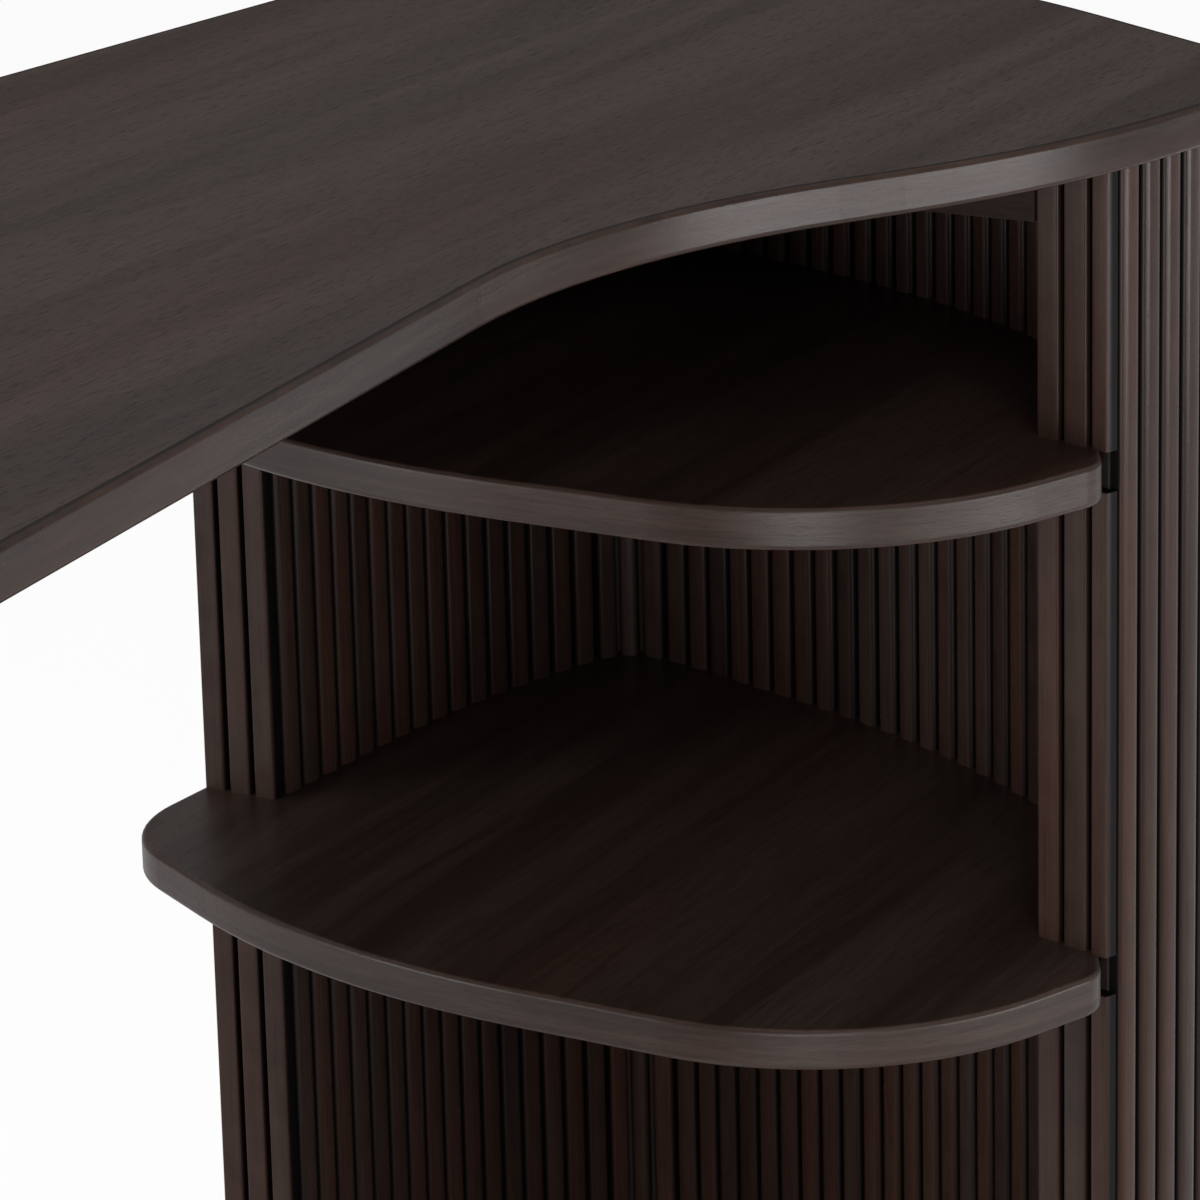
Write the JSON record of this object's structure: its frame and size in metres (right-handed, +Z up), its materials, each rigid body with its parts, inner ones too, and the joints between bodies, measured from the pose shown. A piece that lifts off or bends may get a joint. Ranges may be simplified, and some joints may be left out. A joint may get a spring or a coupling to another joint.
{
  "type": "tambour desk",
  "caption": "Writing desk with a curved slab top on a slatted tambour pedestal with open rounded shelves, a slatted leg and levelling feet.",
  "frame": {"origin": "on the floor, below the middle of the top's bounding box", "axes": "+X along the desk to the sitter's right, -Y towards the sitter, +Z up"},
  "size_m": [1.36, 0.5495, 0.755],
  "materials": {
    "top_wood": "dark espresso stain, satin lacquer",
    "edge_wood": "dark espresso stain, satin lacquer",
    "slat_wood": "dark espresso stain, satin lacquer",
    "shelf_wood": "dark espresso stain, satin lacquer",
    "rail_wood": "dark stain, matt",
    "ply": "dark stained plywood, matt",
    "dowel_wood": "plain beech",
    "steel": "zinc plated",
    "foot_plastic": "black moulded nylon"
  },
  "bodies": {
    "desk": {"desktop_panel": "top_wood", "desktop_lipping": "edge_wood", "pedestal_outer_slats": "slat_wood", "pedestal_inner_slats_lower": "slat_wood", "pedestal_inner_slats_middle": "slat_wood", "pedestal_inner_slats_upper": "slat_wood", "pedestal_back_cap_strips": "slat_wood", "pedestal_front_cap_strips": "slat_wood", "leg_outer_slats": "slat_wood", "leg_inner_slats": "slat_wood", "leg_back_cap_strips": "slat_wood", "leg_front_cap_strips": "slat_wood", "base_shelf": "shelf_wood", "lower_shelf": "shelf_wood", "upper_shelf": "shelf_wood", "header_rail": "rail_wood", "back_apron": "rail_wood", "pedestal_back_post": "rail_wood", "pedestal_front_post": "rail_wood", "leg_back_post": "rail_wood", "leg_front_post": "rail_wood", "pedestal_outer_skin": "ply", "pedestal_inner_skin": "ply", "pedestal_bottom_rib": "ply", "pedestal_lower_rib": "ply", "pedestal_upper_rib": "ply", "pedestal_top_rib": "ply", "leg_outer_skin": "ply", "leg_inner_skin": "ply", "leg_bottom_rib": "ply", "leg_middle_rib": "ply", "leg_top_rib": "ply", "shelf_dowels": "dowel_wood", "top_dowels": "dowel_wood", "apron_brackets": "steel", "header_screws": "steel", "bracket_screws": "steel", "foot_nuts": "steel"},
    "foot_pad_1": {"foot_pad_1": "foot_plastic"},
    "foot_stud_1": {"foot_stud_1": "steel"},
    "foot_pad_2": {"foot_pad_2": "foot_plastic"},
    "foot_stud_2": {"foot_stud_2": "steel"},
    "foot_pad_3": {"foot_pad_3": "foot_plastic"},
    "foot_stud_3": {"foot_stud_3": "steel"},
    "foot_pad_4": {"foot_pad_4": "foot_plastic"},
    "foot_stud_4": {"foot_stud_4": "steel"},
    "foot_pad_5": {"foot_pad_5": "foot_plastic"},
    "foot_stud_5": {"foot_stud_5": "steel"},
    "foot_pad_6": {"foot_pad_6": "foot_plastic"},
    "foot_stud_6": {"foot_stud_6": "steel"},
    "foot_pad_7": {"foot_pad_7": "foot_plastic"},
    "foot_stud_7": {"foot_stud_7": "steel"}
  },
  "joints": [
    {"name": "foot_1_extend", "type": "slide", "parent": "desk", "child": "foot_pad_1", "axis": [0, 0, -1], "range_m": [0, 0.01]},
    {"name": "foot_1_turn", "type": "hinge", "parent": "foot_pad_1", "child": "foot_stud_1", "pos_m": [0.39453, 0.24082, 0.012], "axis": [0, 0, 1], "range_deg": [-2880, 0]},
    {"name": "foot_2_extend", "type": "slide", "parent": "desk", "child": "foot_pad_2", "axis": [0, 0, -1], "range_m": [0, 0.01]},
    {"name": "foot_2_turn", "type": "hinge", "parent": "foot_pad_2", "child": "foot_stud_2", "pos_m": [0.646, 0.1763, 0.012], "axis": [0, 0, 1], "range_deg": [-2880, 0]},
    {"name": "foot_3_extend", "type": "slide", "parent": "desk", "child": "foot_pad_3", "axis": [0, 0, -1], "range_m": [0, 0.01]},
    {"name": "foot_3_turn", "type": "hinge", "parent": "foot_pad_3", "child": "foot_stud_3", "pos_m": [0.55116, -0.08141, 0.012], "axis": [0, 0, 1], "range_deg": [-2880, 0]},
    {"name": "foot_4_extend", "type": "slide", "parent": "desk", "child": "foot_pad_4", "axis": [0, 0, -1], "range_m": [0, 0.01]},
    {"name": "foot_4_turn", "type": "hinge", "parent": "foot_pad_4", "child": "foot_stud_4", "pos_m": [0.38712, -0.24048, 0.012], "axis": [0, 0, 1], "range_deg": [-2880, 0]},
    {"name": "foot_5_extend", "type": "slide", "parent": "desk", "child": "foot_pad_5", "axis": [0, 0, -1], "range_m": [0, 0.01]},
    {"name": "foot_5_turn", "type": "hinge", "parent": "foot_pad_5", "child": "foot_stud_5", "pos_m": [-0.56638, 0.2408, 0.012], "axis": [0, 0, 1], "range_deg": [-2880, 0]},
    {"name": "foot_6_extend", "type": "slide", "parent": "desk", "child": "foot_pad_6", "axis": [0, 0, -1], "range_m": [0, 0.01]},
    {"name": "foot_6_turn", "type": "hinge", "parent": "foot_pad_6", "child": "foot_stud_6", "pos_m": [-0.646, 0.01884, 0.012], "axis": [0, 0, 1], "range_deg": [-2880, 0]},
    {"name": "foot_7_extend", "type": "slide", "parent": "desk", "child": "foot_pad_7", "axis": [0, 0, -1], "range_m": [0, 0.01]},
    {"name": "foot_7_turn", "type": "hinge", "parent": "foot_pad_7", "child": "foot_stud_7", "pos_m": [-0.56613, -0.20519, 0.012], "axis": [0, 0, 1], "range_deg": [-2880, 0]}
  ],
  "couplings": [
    {"joint": "foot_1_turn", "follows": "foot_1_extend", "rad_per_m": -5026.5},
    {"joint": "foot_2_turn", "follows": "foot_2_extend", "rad_per_m": -5026.5},
    {"joint": "foot_3_turn", "follows": "foot_3_extend", "rad_per_m": -5026.5},
    {"joint": "foot_4_turn", "follows": "foot_4_extend", "rad_per_m": -5026.5},
    {"joint": "foot_5_turn", "follows": "foot_5_extend", "rad_per_m": -5026.5},
    {"joint": "foot_6_turn", "follows": "foot_6_extend", "rad_per_m": -5026.5},
    {"joint": "foot_7_turn", "follows": "foot_7_extend", "rad_per_m": -5026.5}
  ]
}
